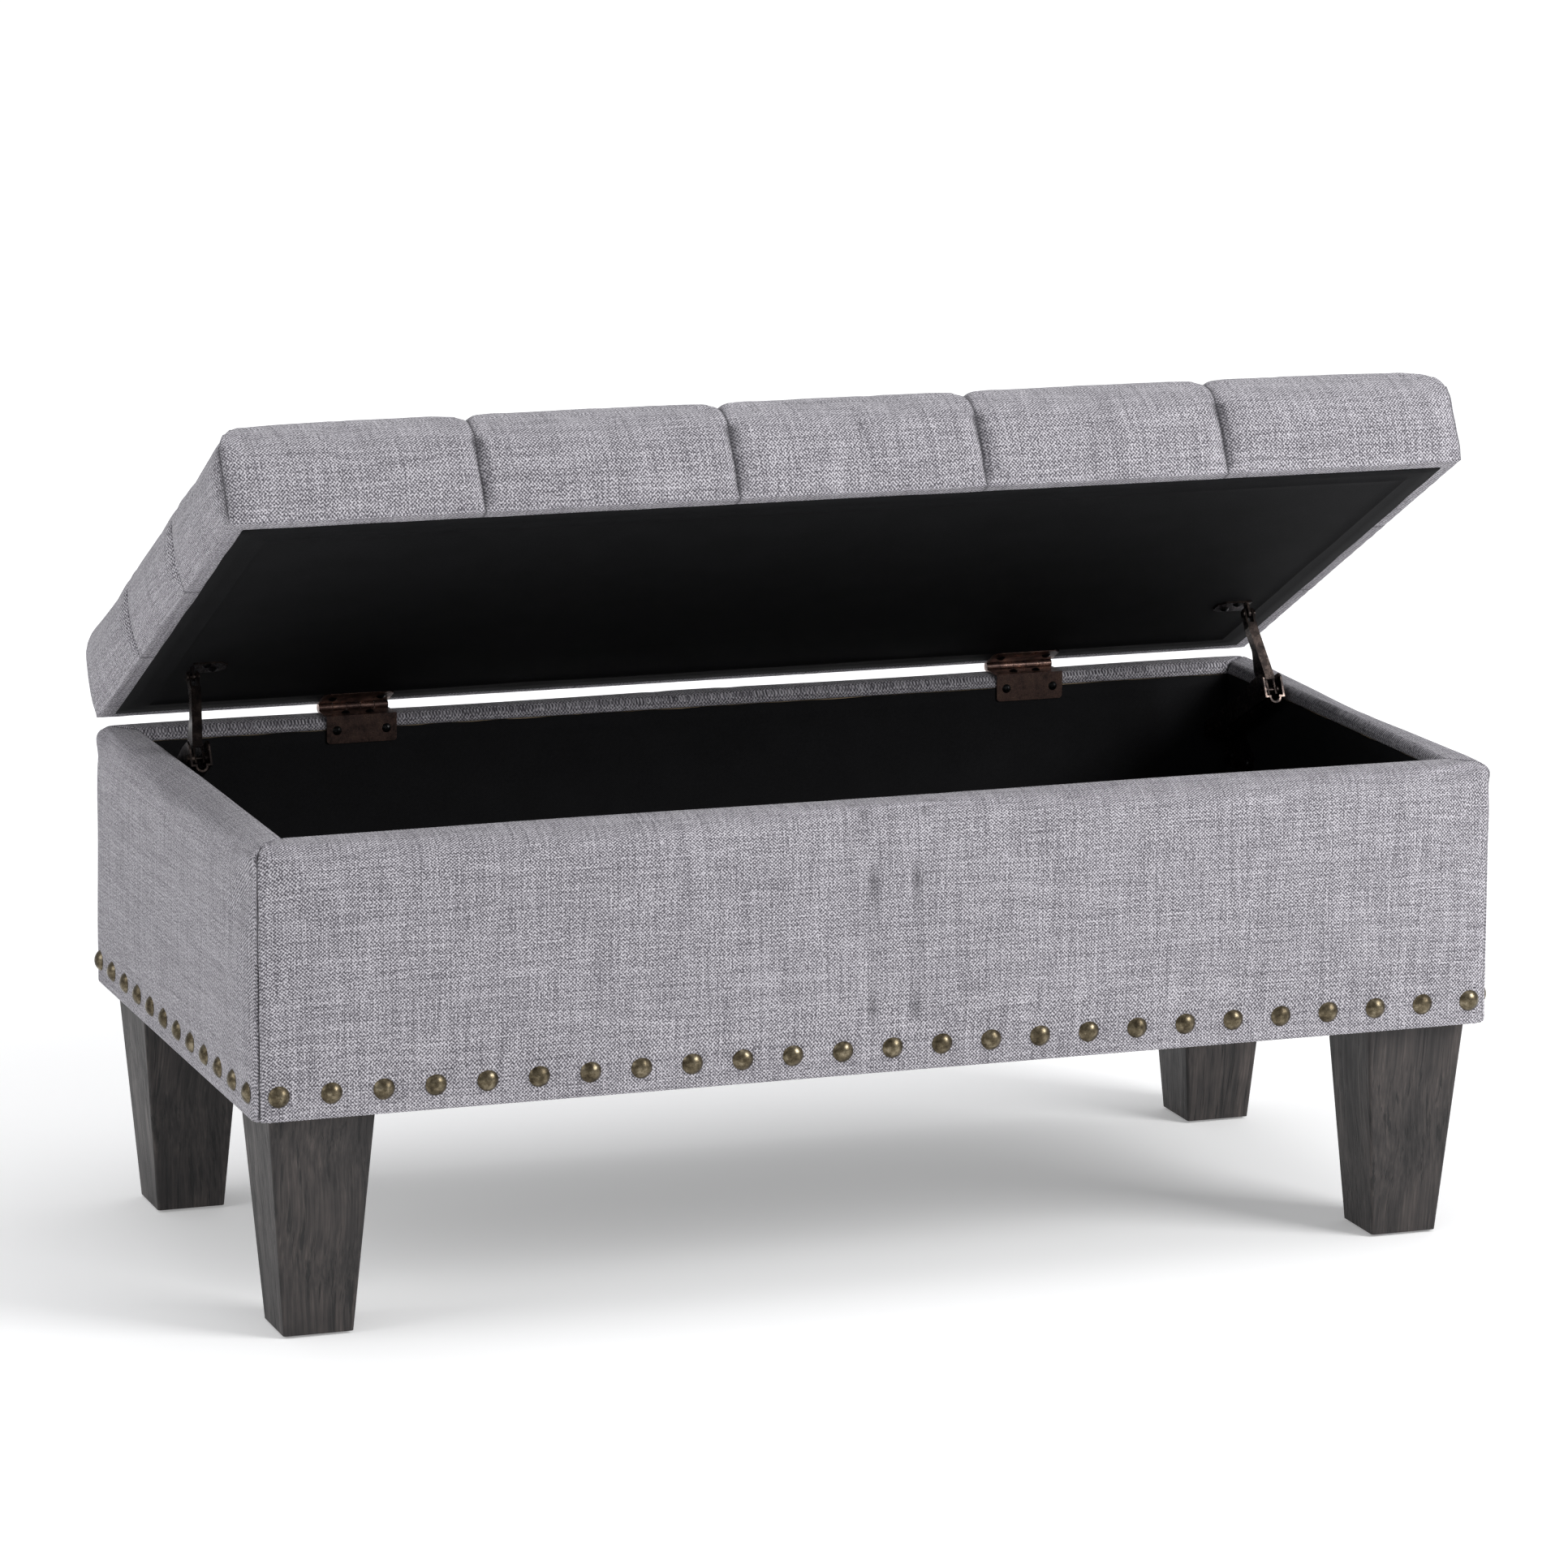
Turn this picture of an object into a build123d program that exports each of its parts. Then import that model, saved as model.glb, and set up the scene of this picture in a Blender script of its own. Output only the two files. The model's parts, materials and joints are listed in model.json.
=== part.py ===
"""Storage bench: a padded, fabric-covered box on four tapered legs, with a tufted lid on two hinges
and an elbow stay at each end.

Nodes are built in a work frame with x across the middle of the bench, y = 0 at the front face and
z = 0 at the floor. The lid is drawn closed and then opened to its stored angle. At the end all
nodes are moved so that the origin is the middle of the whole bench on the floor.
"""
import os
from math import atan2, cos, degrees, hypot, radians, sin

from build123d import *

# ---- driving sizes, mm ----
W = 1000.0  # box, over the fabric
D = 480.0
UNDER = 174.0  # floor to underside of the box
RIM = 382.0  # floor to top of the rim

FABRIC = 1.5
SIDE_PAD = 12.5
RIM_PAD = 4.0
PANEL = 18.0
LINER = 2.0
BOTTOM = 15.0
FLOOR_LINER = 1.5
SHEET = 0.8  # non-woven cover under the box and under the lid
BOX_CORNER_R = 14.0
BOX_RIM_R = 12.0
HEM_IN = 10.0  # cover turned down inside the rim
HEM_UNDER = 25.0  # cover turned in below the box
SHEET_INSET = 15.0

LEG_TOP = 82.0
LEG_FOOT = 54.5
LEG_INSET = 15.0
LEG_EDGE_R = 2.5
GLIDE_R = 11.0
GLIDE_T = 2.0

NAIL_R = 8.25
NAIL_H = 4.5
NAIL_SHANK_R = 1.2
NAIL_SHANK = 17.0
NAIL_Z = UNDER + 20.0
NAIL_PITCH = 40.1  # wanted pitch, rounded to fit each side
NAIL_END_X = 18.8  # last nail from the end of the front
NAIL_END_Y = 20.0

LID_SIDE = 2.0  # lid stops this far inside the box ends
LID_SETBACK = 10.0  # lid front edge behind the box front
LID_H = 76.0
LID_TOP_R = 20.0
LID_BOARD = 12.0
LID_BOARD_INSET = 6.0
LID_HEM = 30.0
HEM_T = 1.2
TUFTS_X = 5
TUFTS_Y = 3
SEAM_W = 5.0
SEAM_DEPTH = 3.0
LID_OPEN = 28.6  # stored opening angle, degrees
LID_FULL = 75.0

HINGE_X = 0.287 * W  # hinge centre from the middle
HINGE_L = 58.0
LEAF_T = 1.5
BARREL_R = 3.5
PIN_R = 1.5
PIN_REAR = 9.0  # pin to rear face of the box
FLANGE_DROP = 21.0
KNUCKLES = 5

STAY_X = W / 2 - 47.5  # stay centre plane from the middle
STAY_REACH = 119.0  # lid bracket pivot, from the hinge pin along the lid
STAY_DROP = 4.5  # and below it
BASE_DY = 36.0  # base pivot, in front of the hinge pin
BASE_DZ = 57.5  # and below it
LINK_HALF_W = 8.5
LINK_T = 1.5
LINK_R = 8.0
LINK_TIP_UP = 13.0
BEAD_R = 5.0
ARM_HALF_W = 4.0
ARM_T = 1.5
ARM_R = 4.5
ARM_JOG = 5.5  # arm leans towards the middle of the bench
EAR_T = 2.0
RIVET_R = 2.0
BASE_RIVET_R = 2.5
PIVOT_GAP = 0.1

SCREW_R = 1.75
SCREW_HEAD_R = 3.75
SCREW_HEAD_H = 1.8

# ---- derived sizes ----
WALL = FABRIC + SIDE_PAD + PANEL + LINER
IN_PANEL = FABRIC + SIDE_PAD
OUT_LINER = IN_PANEL + PANEL
PANEL_Z0 = UNDER + FABRIC
PANEL_Z1 = RIM - FABRIC - RIM_PAD
BOTTOM_Z1 = PANEL_Z0 + BOTTOM
FLOOR_Z = BOTTOM_Z1 + FLOOR_LINER
LEG_Z1 = UNDER - SHEET

PIN_Y = D - PIN_REAR
PIN_Z = RIM + BARREL_R
LID_Z0 = PIN_Z + BARREL_R
HEM_Z = LID_Z0 + SHEET
BOARD_Z0 = HEM_Z + HEM_T
BOARD_Z1 = BOARD_Z0 + LID_BOARD
LID_Z1 = HEM_Z + LID_H
LID_X = W / 2 - LID_SIDE
REAR_IN = D - WALL  # inner face of the rear wall

ARM_L = hypot(BASE_DY, BASE_DZ)
LINK_L = hypot(STAY_REACH, STAY_DROP)
P_Y, P_Z = PIN_Y - BASE_DY, PIN_Z - BASE_DZ
B_Y, B_Z = PIN_Y - STAY_REACH, PIN_Z - STAY_DROP  # lid closed


def opened(y, z, angle):
    """A point of the closed lid once the lid has been raised by an angle in degrees."""
    a, dy, dz = radians(angle), y - PIN_Y, z - PIN_Z
    return PIN_Y + dy * cos(a) + dz * sin(a), PIN_Z - dy * sin(a) + dz * cos(a)


B_REST = opened(B_Y, B_Z, LID_OPEN)
E_REST = (B_REST[0] - BASE_DY, B_REST[1] - BASE_DZ)  # elbow


# ---- shape helpers ----
def block(x0, x1, y0, y1, z0, z1):
    return Pos((x0 + x1) / 2, (y0 + y1) / 2, (z0 + z1) / 2) * Box(x1 - x0, y1 - y0, z1 - z0)


def rod_x(x0, x1, y, z, r):
    return Pos((x0 + x1) / 2, y, z) * Rot(0, 90, 0) * Cylinder(r, x1 - x0)


def rod_z(x, y, z0, z1, r):
    return Pos(x, y, (z0 + z1) / 2) * Cylinder(r, z1 - z0)


def prism_z(points, z0, z1):
    return Pos(0, 0, z0) * extrude(make_face(Polyline(*points, close=True)), z1 - z0)


def prism_x(points, x0, x1):
    """Extrude an outline given as (y, z) pairs along x."""
    side_on = Plane(origin=(x0, 0, 0), x_dir=(0, 1, 0), z_dir=(1, 0, 0))
    return extrude(side_on * make_face(Polyline(*points, close=True)), x1 - x0)


def vertical(shape):
    return shape.edges().filter_by(Axis.Z)


def top_edges(shape):
    return shape.faces().sort_by(Axis.Z)[-1].edges()


def padded_block(inset, corner_r, rim_r):
    """Outer shape of the box, moved in by an inset all round."""
    b = block(-W / 2 + inset, W / 2 - inset, inset, D - inset, UNDER + inset, RIM - inset)
    b = fillet(vertical(b), corner_r - inset)
    return fillet(top_edges(b), rim_r - inset)


def ring_inside(d, z0, z1):
    return block(-W / 2 + d, W / 2 - d, d, D - d, z0, z1)


def head(r, h):
    """Domed head standing on z = 0."""
    ball = (r * r + h * h) / (2 * h)
    return Pos(0, 0, h - ball) * Sphere(ball) & block(-r, r, -r, r, 0, h)


def nail():
    return head(NAIL_R, NAIL_H) + rod_z(0, 0, -NAIL_SHANK, 0.2, NAIL_SHANK_R)


def screw(length):
    """Domed cross-recess screw: head above z = 0, shank below."""
    s = head(SCREW_HEAD_R, SCREW_HEAD_H) + rod_z(0, 0, -length, 0.2, SCREW_R)
    half, slot = SCREW_HEAD_R * 0.6, 0.45
    for a, b in ((half, slot), (slot, half)):
        s -= block(-a, a, -b, b, SCREW_HEAD_H - 1.0, SCREW_HEAD_H + 1)
    return s


def frame_screw(grow=0.0):
    """Countersunk screw with its head flush at z = 0 and its shank below."""
    cone = Pos(0, 0, -1.5) * Cone(2.0 + grow, 4.0 + grow, 3.0)
    return cone + rod_z(0, 0, -45 - grow, -2.9, 2.0 + grow)


def bore(length, r=SCREW_R):
    return rod_z(0, 0, -length - 0.3, 0.3, r + 0.05)


def mirror_x(shape):
    return mirror(shape, about=Plane.YZ)


def group(shapes):
    return Compound(list(shapes))


def raise_lid(shape):
    turn = Pos(0, PIN_Y, PIN_Z) * Rot(-LID_OPEN, 0, 0) * Pos(0, -PIN_Y, -PIN_Z)
    return turn * shape


box_nodes, lid_nodes = {}, {}

# ---- wooden box frame ----
panels = {
    "front_panel": block(-W / 2 + IN_PANEL, W / 2 - IN_PANEL, IN_PANEL, OUT_LINER, PANEL_Z0, PANEL_Z1),
    "rear_panel": block(-W / 2 + IN_PANEL, W / 2 - IN_PANEL, D - OUT_LINER, D - IN_PANEL, PANEL_Z0, PANEL_Z1),
    "left_panel": block(-W / 2 + IN_PANEL, -W / 2 + OUT_LINER, OUT_LINER, D - OUT_LINER, PANEL_Z0, PANEL_Z1),
    "right_panel": block(W / 2 - OUT_LINER, W / 2 - IN_PANEL, OUT_LINER, D - OUT_LINER, PANEL_Z0, PANEL_Z1),
}
bottom_panel = ring_inside(OUT_LINER, PANEL_Z0, BOTTOM_Z1)

# ---- cover and padding rings, cut at 45 degrees in the corners ----
outer = padded_block(0, BOX_CORNER_R, BOX_RIM_R)
pad_block = padded_block(FABRIC, BOX_CORNER_R, BOX_RIM_R)
cover_ring = outer - (pad_block - ring_inside(OUT_LINER, RIM - HEM_IN, RIM + 1))
cover_ring -= ring_inside(WALL, UNDER - 1, RIM + 1)
cover_ring -= ring_inside(HEM_UNDER, UNDER - 1, PANEL_Z0)
pad_ring = pad_block - ring_inside(OUT_LINER, UNDER, RIM + 1) - ring_inside(IN_PANEL, UNDER, PANEL_Z1)

far = 30.0
a, b = (-W / 2 - far, -far), (W / 2 + far, -far)
c, d = (W / 2 + far, D + far), (-W / 2 - far, D + far)
m, n = (-W / 2 + D / 2, D / 2), (W / 2 - D / 2, D / 2)
sectors = {
    "front": prism_z([a, b, n, m], UNDER - 10, RIM + 10),
    "rear": prism_z([c, d, m, n], UNDER - 10, RIM + 10),
    "left": prism_z([a, m, d], UNDER - 10, RIM + 10),
    "right": prism_z([b, c, n], UNDER - 10, RIM + 10),
}
covers = {side: cover_ring & s for side, s in sectors.items()}
pads = {side: pad_ring & s for side, s in sectors.items()}

# ---- linings ----
liners = {
    "front": block(-W / 2 + OUT_LINER, W / 2 - OUT_LINER, OUT_LINER, WALL, BOTTOM_Z1, RIM - HEM_IN),
    "rear": block(-W / 2 + OUT_LINER, W / 2 - OUT_LINER, REAR_IN, D - OUT_LINER, BOTTOM_Z1, RIM - HEM_IN),
    "left": block(-W / 2 + OUT_LINER, -W / 2 + WALL, WALL, REAR_IN, BOTTOM_Z1, RIM - HEM_IN),
    "right": block(W / 2 - WALL, W / 2 - OUT_LINER, WALL, REAR_IN, BOTTOM_Z1, RIM - HEM_IN),
}
floor_liner = ring_inside(WALL, BOTTOM_Z1, FLOOR_Z)
dust_cover = ring_inside(SHEET_INSET, LEG_Z1, UNDER) + ring_inside(HEM_UNDER, UNDER, PANEL_Z0)

# ---- decorative nails along the front and both ends ----
front_n = round((W - 2 * NAIL_END_X) / NAIL_PITCH)
front_x = [-W / 2 + NAIL_END_X + i * (W - 2 * NAIL_END_X) / front_n for i in range(front_n + 1)]
side_n = round((D - 2 * NAIL_END_Y) / NAIL_PITCH)
side_y = [NAIL_END_Y + i * (D - 2 * NAIL_END_Y) / side_n for i in range(side_n + 1)]
places = {
    "front": [Pos(x, 0, NAIL_Z) * Rot(90, 0, 0) for x in front_x],
    "left": [Pos(-W / 2, y, NAIL_Z) * Rot(0, -90, 0) for y in side_y],
    "right": [Pos(W / 2, y, NAIL_Z) * Rot(0, 90, 0) for y in side_y],
}
for side, spots in places.items():
    box_nodes[f"nailheads_{side}"] = group([p * nail() for p in spots])
    holes = [p * rod_z(0, 0, -NAIL_SHANK - 0.3, 0.3, NAIL_SHANK_R + 0.05) for p in spots]
    covers[side] -= holes
    pads[side] -= holes
    for name in panels:
        panels[name] -= holes

# ---- screws holding the frame together ----
corner_z = (UNDER + 62, RIM - 62)
mid_panel = (IN_PANEL + OUT_LINER) / 2
frame_spots = [Pos(sx * (W / 2 - mid_panel), y, z) * Rot(r, 0, 0)
               for sx in (-1, 1) for z in corner_z for y, r in ((IN_PANEL, 90), (D - IN_PANEL, -90))]
frame_spots += [Pos(x, y, PANEL_Z0 + BOTTOM * 0.45) * Rot(r, 0, 0)
                for x in (-0.33 * W, 0, 0.33 * W) for y, r in ((IN_PANEL, 90), (D - IN_PANEL, -90))]
box_nodes["frame_screws"] = group([p * frame_screw() for p in frame_spots])
frame_holes = [p * frame_screw(0.05) for p in frame_spots]
for name in panels:
    panels[name] -= frame_holes
bottom_panel -= frame_holes

# ---- legs with their bolts, tee nuts and glides ----
leg_c = LEG_INSET + LEG_TOP / 2
leg_xy = {
    "front_left": (-W / 2 + leg_c, leg_c),
    "front_right": (W / 2 - leg_c, leg_c),
    "rear_left": (-W / 2 + leg_c, D - leg_c),
    "rear_right": (W / 2 - leg_c, D - leg_c),
}
bolts, nuts, glides = [], [], []
for place, (x, y) in leg_xy.items():
    foot = Plane.XY.offset(GLIDE_T) * RectangleRounded(LEG_FOOT, LEG_FOOT, LEG_EDGE_R)
    top = Plane.XY.offset(LEG_Z1) * RectangleRounded(LEG_TOP, LEG_TOP, LEG_EDGE_R)
    leg = Pos(x, y, 0) * loft([foot.face(), top.face()])
    leg -= rod_z(x, y, LEG_Z1 - 47, LEG_Z1 + 1, 4.05)
    leg -= rod_z(x, y, GLIDE_T - 1, GLIDE_T + 14, 1.25)
    box_nodes[f"{place}_leg"] = leg
    bolts.append(rod_z(x, y, LEG_Z1 - 45, BOTTOM_Z1 - 0.3, 4.0))
    nut = rod_z(x, y, BOTTOM_Z1 - 1.5, BOTTOM_Z1, 11.0) + rod_z(x, y, BOTTOM_Z1 - 12, BOTTOM_Z1 - 1.4, 5.2)
    nuts.append(nut - rod_z(x, y, PANEL_Z0, BOTTOM_Z1 + 1, 4.05))
    glides.append(rod_z(x, y, 0, GLIDE_T, GLIDE_R) + rod_z(x, y, GLIDE_T - 0.2, GLIDE_T + 12, 1.2))
    bottom_panel -= rod_z(x, y, BOTTOM_Z1 - 1.5, BOTTOM_Z1 + 1, 11.05)
    bottom_panel -= rod_z(x, y, BOTTOM_Z1 - 12, BOTTOM_Z1, 5.25)
    bottom_panel -= rod_z(x, y, PANEL_Z0 - 1, BOTTOM_Z1, 4.05)
    dust_cover -= rod_z(x, y, LEG_Z1 - 1, PANEL_Z0 + 1, 4.05)
box_nodes["leg_bolts"] = group(bolts)
box_nodes["leg_tee_nuts"] = group(nuts)
box_nodes["leg_glides"] = group(glides)

# ---- lid, closed ----
def lid_block(inset, z0):
    x, y0, y1 = LID_X - inset, LID_SETBACK + inset, D - inset
    b = block(-x, x, y0, y1, z0, LID_Z1 - inset)
    return fillet(top_edges(b), LID_TOP_R - inset)


def seam_slabs(width):
    pitch_x, pitch_y = 2 * LID_X / TUFTS_X, (D - LID_SETBACK) / TUFTS_Y
    h = width / 2
    xs = [-LID_X + pitch_x * i for i in range(1, TUFTS_X)]
    ys = [LID_SETBACK + pitch_y * i for i in range(1, TUFTS_Y)]
    slabs = [block(x - h, x + h, 0, D + 9, BOARD_Z0 + 3, LID_Z1 + 9) for x in xs]
    return slabs + [block(-W, W, y - h, y + h, BOARD_Z0 + 3, LID_Z1 + 9) for y in ys]


def lid_inside(d, z0, z1):
    return block(-LID_X + d, LID_X - d, LID_SETBACK + d, D - d, z0, z1)


def seamed(inset, z0, width):
    """Lid shape with its seams let in along the top and down all four sides."""
    skin = lid_block(inset, z0) - lid_block(inset + SEAM_DEPTH, z0 - 5)
    return lid_block(inset, z0) - [skin & slab for slab in seam_slabs(width)]


lid_cover = seamed(0, HEM_Z, SEAM_W) - seamed(FABRIC, BOARD_Z0, SEAM_W + 2 * FABRIC)
lid_cover -= lid_inside(LID_HEM, HEM_Z - 1, BOARD_Z0)
lid_board = lid_inside(LID_BOARD_INSET, BOARD_Z0, BOARD_Z1)
lid_foam = seamed(FABRIC, BOARD_Z0, SEAM_W + 2 * FABRIC) - lid_board
lid_liner = lid_inside(SHEET_INSET, LID_Z0, HEM_Z) + lid_inside(LID_HEM, HEM_Z, BOARD_Z0)

# ---- hinges ----
flange_z = RIM - FLANGE_DROP / 2
top_y = PIN_Y - 15
box_holes_rear, rim_holes, lid_holes = [], [], []
box_screws, lid_screws = [], []
for side, s in (("left", -1), ("right", 1)):
    x0, x1 = s * HINGE_X - HINGE_L / 2, s * HINGE_X + HINGE_L / 2
    step = HINGE_L / KNUCKLES
    flange = block(x0, x1, REAR_IN - LEAF_T, REAR_IN, RIM - FLANGE_DROP, RIM + LEAF_T)
    flange = fillet(flange.faces().sort_by(Axis.Z)[0].edges().filter_by(Axis.Y), 3)
    box_leaf = flange + block(x0, x1, REAR_IN - LEAF_T, PIN_Y, RIM, RIM + LEAF_T)
    lid_leaf = block(x0, x1, REAR_IN - 2, PIN_Y, LID_Z0 - LEAF_T, LID_Z0)
    lid_leaf = chamfer(lid_leaf.faces().sort_by(Axis.Y)[0].edges().filter_by(Axis.Z), 5)
    for k in range(KNUCKLES):
        ka, kb = x0 + k * step, x0 + (k + 1) * step
        room = block(ka - 0.01, kb + 0.01, PIN_Y - BARREL_R - 0.8, PIN_Y + 5, RIM - 1, LID_Z0 + 1)
        knuckle = rod_x(ka + 0.2, kb - 0.2, PIN_Y, PIN_Z, BARREL_R)
        web = block(ka + 0.2, kb - 0.2, PIN_Y - BARREL_R - 1.5, PIN_Y, 0, 2 * LID_Z0)
        low = web & block(x0, x1, 0, D, RIM, RIM + LEAF_T)
        high = web & block(x0, x1, 0, D, LID_Z0 - LEAF_T, LID_Z0)
        box_leaf -= room
        lid_leaf -= room
        if k % 2 == 0:
            box_leaf = box_leaf + (knuckle + low)
        else:
            lid_leaf = lid_leaf + (knuckle + high)
    pin_bore = rod_x(x0 - 1, x1 + 1, PIN_Y, PIN_Z, PIN_R + 0.05)
    box_leaf -= pin_bore
    lid_leaf -= pin_bore
    cx = s * HINGE_X
    flange_at = [Pos(cx + t * 20.5, REAR_IN - LEAF_T, flange_z) * Rot(90, 0, 0) for t in (-1, 1)]
    top_at = [Pos(cx + t * 10, top_y, RIM + LEAF_T) for t in (-1, 1)]
    lid_at = [Pos(cx + t * 20, top_y, LID_Z0 - LEAF_T) * Rot(180, 0, 0) for t in (-1, 1)]
    box_screws += [p * screw(17) for p in flange_at] + [p * screw(25) for p in top_at]
    lid_screws += [p * screw(12) for p in lid_at]
    flange_bores, top_bores = [p * bore(17) for p in flange_at], [p * bore(25) for p in top_at]
    lid_bores = [p * bore(12) for p in lid_at]
    box_leaf -= flange_bores + top_bores
    lid_leaf -= lid_bores
    box_holes_rear += flange_bores + top_bores
    lid_holes += lid_bores
    box_nodes[f"{side}_hinge_box_leaf"] = box_leaf
    box_nodes[f"{side}_hinge_pin"] = rod_x(x0 + 0.1, x1 - 0.1, PIN_Y, PIN_Z, PIN_R)
    lid_nodes[f"{side}_hinge_lid_leaf"] = lid_leaf
box_nodes["hinge_box_screws"] = group(box_screws)
lid_nodes["hinge_lid_screws"] = group(lid_screws)
covers["rear"] -= box_holes_rear
pads["rear"] -= box_holes_rear
panels["rear_panel"] -= box_holes_rear
liners["rear"] -= box_holes_rear

# ---- stays, drawn for the left end and mirrored for the right ----
# Link: folded channel from the base pivot (0, 0) to the elbow (LINK_L, 0); +z is its closed side.
tip = LINK_L + LINK_R
link_side = [(0, LINK_R), (tip, LINK_R), (tip, -LINK_TIP_UP + 4), (tip - 4, -LINK_TIP_UP),
             (LINK_L - 12, -LINK_TIP_UP), (LINK_L - 45, -LINK_R), (0, -LINK_R)]
link = prism_x(link_side, -LINK_HALF_W, LINK_HALF_W) + rod_x(-LINK_HALF_W, LINK_HALF_W, 0, 0, LINK_R)
link -= block(-LINK_HALF_W + LINK_T, LINK_HALF_W - LINK_T, -20, tip + 5, -30, LINK_R - LINK_T)
bead = Pos(0, (14 + tip) / 2, LINK_R) * Rot(90, 0, 0) * Cylinder(BEAD_R, tip - 14)
link += bead & block(-BEAD_R, BEAD_R, 0, tip + 5, LINK_R - 0.2, LINK_R + BEAD_R)
link -= Pos(0, (14 + tip) / 2, LINK_R) * Rot(90, 0, 0) * Cylinder(BEAD_R - LINK_T, tip)
link -= rod_x(-20, 20, 0, 0, BASE_RIVET_R + PIVOT_GAP)
link -= rod_x(-20, 20, LINK_L, 0, RIVET_R + 0.05)

# Arm: channel from the elbow (0, 0) to the lid bracket (ARM_L, 0); +z is its closed side.
knee0, knee1 = 12.0, ARM_L - 13


def arm_plan(h):
    left = [(-h, -20), (-h, knee0), (ARM_JOG - h, knee1), (ARM_JOG - h, ARM_L + 20)]
    right = [(ARM_JOG + h, ARM_L + 20), (ARM_JOG + h, knee1), (h, knee0), (h, -20)]
    return left + right


arm_side = [(0, -ARM_R - 1), (6, -10), (13, -13.5), (22, -12.5), (36, -ARM_R), (ARM_L, -ARM_R),
            (ARM_L, ARM_R), (0, ARM_R)]
arm = prism_x(arm_side, -9, 15) + rod_x(-9, 15, 0, 0, ARM_R + 1) + rod_x(-9, 15, ARM_L, 0, ARM_R)
arm = arm & prism_z(arm_plan(ARM_HALF_W), -30, 30)
arm -= prism_z(arm_plan(ARM_HALF_W - ARM_T), -30, ARM_R - ARM_T)
arm -= block(-20, 20, -20, 8, ARM_R - ARM_T, 20) + block(-20, 20, ARM_L - 9, ARM_L + 20, ARM_R - ARM_T, 20)
arm -= block(-ARM_HALF_W + ARM_T, ARM_HALF_W - ARM_T, -20, 8, -30, 30)
arm -= rod_x(-20, 20, 0, 0, RIVET_R + PIVOT_GAP + 0.05) + rod_x(-20, 20, ARM_L, 0, RIVET_R + PIVOT_GAP)

link_at = Pos(-STAY_X, P_Y, P_Z) * Rot(degrees(atan2(E_REST[1] - P_Z, E_REST[0] - P_Y)), 0, 0)
arm_at = Pos(-STAY_X, *E_REST) * Rot(degrees(atan2(BASE_DZ, BASE_DY)), 0, 0)
link, arm = link_at * link, arm_at * arm

reach = LINK_HALF_W + 1.2
elbow_rivet = rod_x(-reach, reach, *E_REST, RIVET_R)
for x0, x1 in ((-reach, -LINK_HALF_W), (LINK_HALF_W, reach)):
    elbow_rivet += rod_x(x0, x1, *E_REST, 2 * RIVET_R)
elbow_rivet = Pos(-STAY_X, 0, 0) * elbow_rivet
washers = []
for s in (-1, 1):
    x0, x1 = sorted((s * (ARM_HALF_W + 0.15), s * (LINK_HALF_W - LINK_T - 0.1)))
    ring = rod_x(x0, x1, *E_REST, 4.5) - rod_x(x0 - 1, x1 + 1, *E_REST, RIVET_R + 0.05)
    washers.append(Pos(-STAY_X, 0, 0) * ring)

plate_x = -W / 2 + WALL  # inner face of the left wall
link_out = -STAY_X - LINK_HALF_W
base_y, base_z0 = (P_Y - 47, P_Y + 9), P_Z - 32
base = prism_x([(base_y[0], base_z0), (base_y[1], base_z0), (base_y[1], P_Z + 10), (P_Y - 15, P_Z + 10),
                (base_y[0], P_Z - 15)], plate_x, plate_x + 2)
base = chamfer(base.edges().filter_by(Axis.X), 2)
base += rod_x(plate_x + 1, link_out - 0.3, P_Y, P_Z, 6.5)
base -= rod_x(plate_x - 1, link_out + 1, P_Y, P_Z, BASE_RIVET_R + 0.05)
head_x = -STAY_X + LINK_HALF_W + 0.1
base_rivet = rod_x(plate_x, head_x + 0.1, P_Y, P_Z, BASE_RIVET_R) + rod_x(head_x, head_x + 1.3, P_Y, P_Z, 4.5)
base_at = [Pos(plate_x + 2, y, base_z0 + 9) * Rot(0, 90, 0) for y in (P_Y - 36, P_Y - 4)]
base_screws = [p * screw(18) for p in base_at]
base_bores = [p * bore(18) for p in base_at]
base -= base_bores

ear_x = -STAY_X + ARM_JOG
ear = rod_x(ear_x - EAR_T / 2, ear_x + EAR_T / 2, B_Y, B_Z, ARM_R - 0.5)
ear += block(ear_x - EAR_T / 2, ear_x + EAR_T / 2, B_Y - 4, B_Y + 4, B_Z, LID_Z0)
foot_x = ear_x + 28
foot = block(ear_x - EAR_T / 2, foot_x, B_Y - 11, B_Y + 11, LID_Z0 - 1.6, LID_Z0)
foot = chamfer(foot.faces().sort_by(Axis.X)[-1].edges().filter_by(Axis.Z), 6)
bracket = ear + foot - rod_x(-W, 0, B_Y, B_Z, RIVET_R + 0.05)
bracket_at = [Pos(ear_x + x, B_Y + y, LID_Z0 - 1.6) * Rot(180, 0, 0) for x, y in ((11, -6), (18, 5))]
bracket_screws = [p * screw(12) for p in bracket_at]
bracket_bores = [p * bore(12) for p in bracket_at]
bracket -= bracket_bores
grip = ARM_HALF_W + 0.1
bracket_rivet = rod_x(ear_x - grip - 1, ear_x + grip + 1, B_Y, B_Z, RIVET_R)
for x0, x1 in ((-grip - 1, -grip), (grip, grip + 1)):
    bracket_rivet += rod_x(ear_x + x0, ear_x + x1, B_Y, B_Z, 3.5)

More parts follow.
